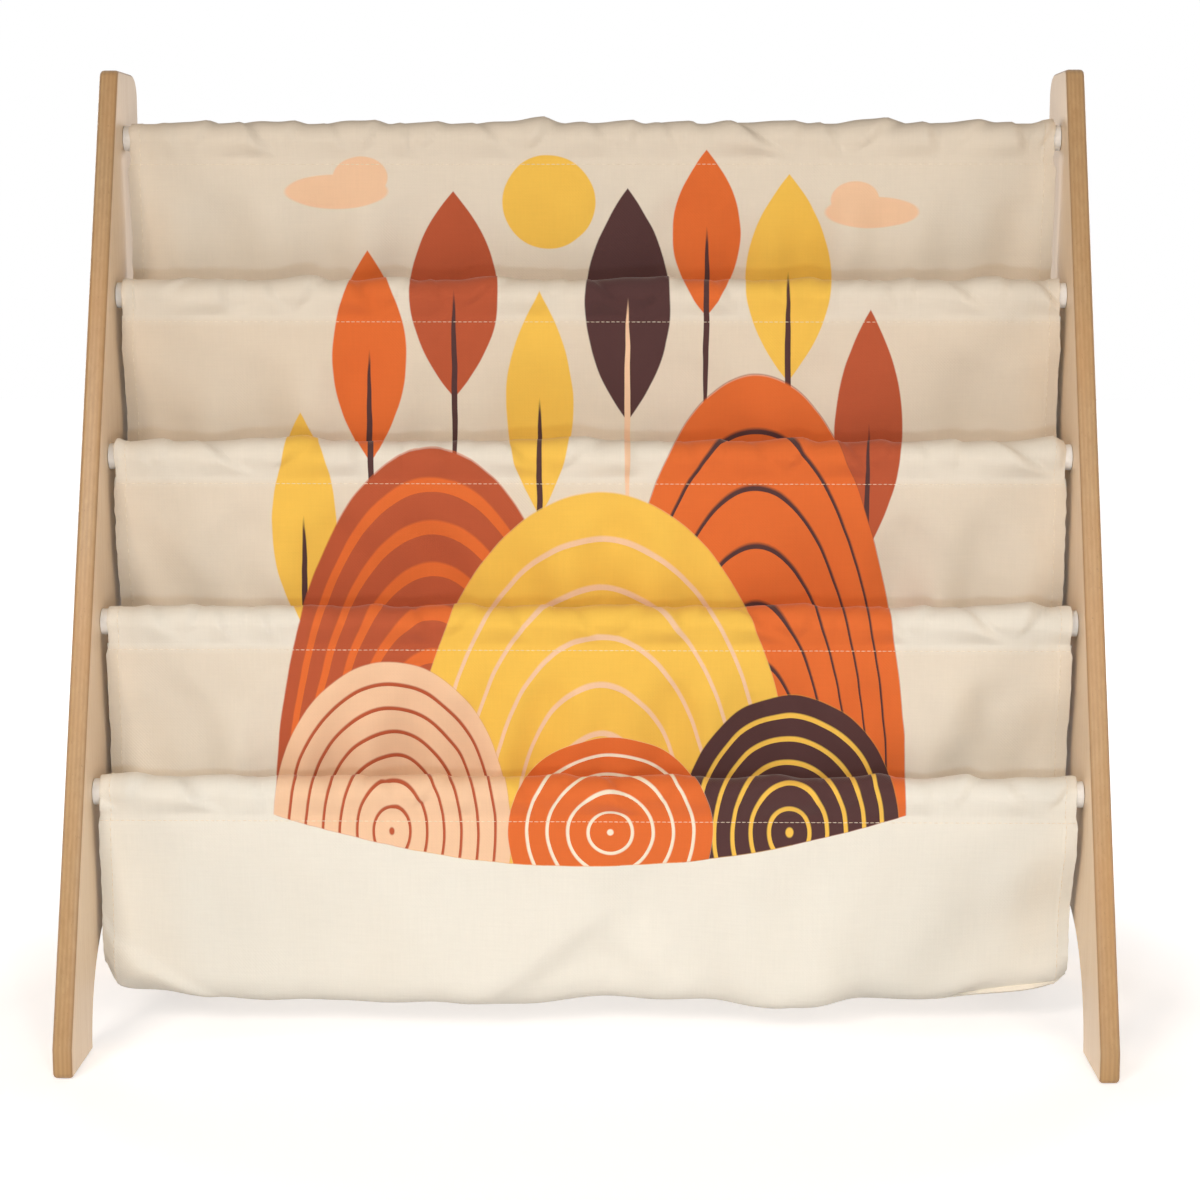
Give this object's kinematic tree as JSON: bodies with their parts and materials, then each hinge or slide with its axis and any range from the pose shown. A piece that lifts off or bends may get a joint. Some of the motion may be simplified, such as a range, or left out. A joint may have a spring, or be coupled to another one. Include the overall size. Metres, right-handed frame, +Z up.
{
  "type": "sling bookshelf",
  "caption": "Low child's bookshelf: shaped plywood sides joined by slanting steel tubes that carry sewn canvas sling pockets for picture books.",
  "frame": {"origin": "on the floor, under the middle of the bookshelf's bounding box", "axes": "+X to the right along the shelf as seen from its front, +Y from the front to the back, +Z up"},
  "size_m": [0.6258, 0.268, 0.59],
  "materials": {
    "plywood": "clear satin lacquer on birch plywood",
    "tube_enamel": "glossy white powder coat",
    "insert_steel": "zinc plated",
    "bolt_steel": "nickel plated",
    "canvas": "plain woven cotton canvas, cream, with a printed design"
  },
  "bodies": {
    "root": {"side_board_left": "plywood", "side_board_right": "plywood", "tube_1": "tube_enamel", "tube_2": "tube_enamel", "tube_3": "tube_enamel", "tube_4": "tube_enamel", "tube_5": "tube_enamel", "insert_left_1": "insert_steel", "insert_left_2": "insert_steel", "insert_left_3": "insert_steel", "insert_left_4": "insert_steel", "insert_left_5": "insert_steel", "insert_right_1": "insert_steel", "insert_right_2": "insert_steel", "insert_right_3": "insert_steel", "insert_right_4": "insert_steel", "insert_right_5": "insert_steel", "bolt_left_1": "bolt_steel", "bolt_left_2": "bolt_steel", "bolt_left_3": "bolt_steel", "bolt_left_4": "bolt_steel", "bolt_left_5": "bolt_steel", "bolt_right_1": "bolt_steel", "bolt_right_2": "bolt_steel", "bolt_right_3": "bolt_steel", "bolt_right_4": "bolt_steel", "bolt_right_5": "bolt_steel", "sling_panel_1": "canvas", "sling_panel_2": "canvas", "sling_panel_3": "canvas", "sling_panel_4": "canvas"}
  },
  "joints": []
}
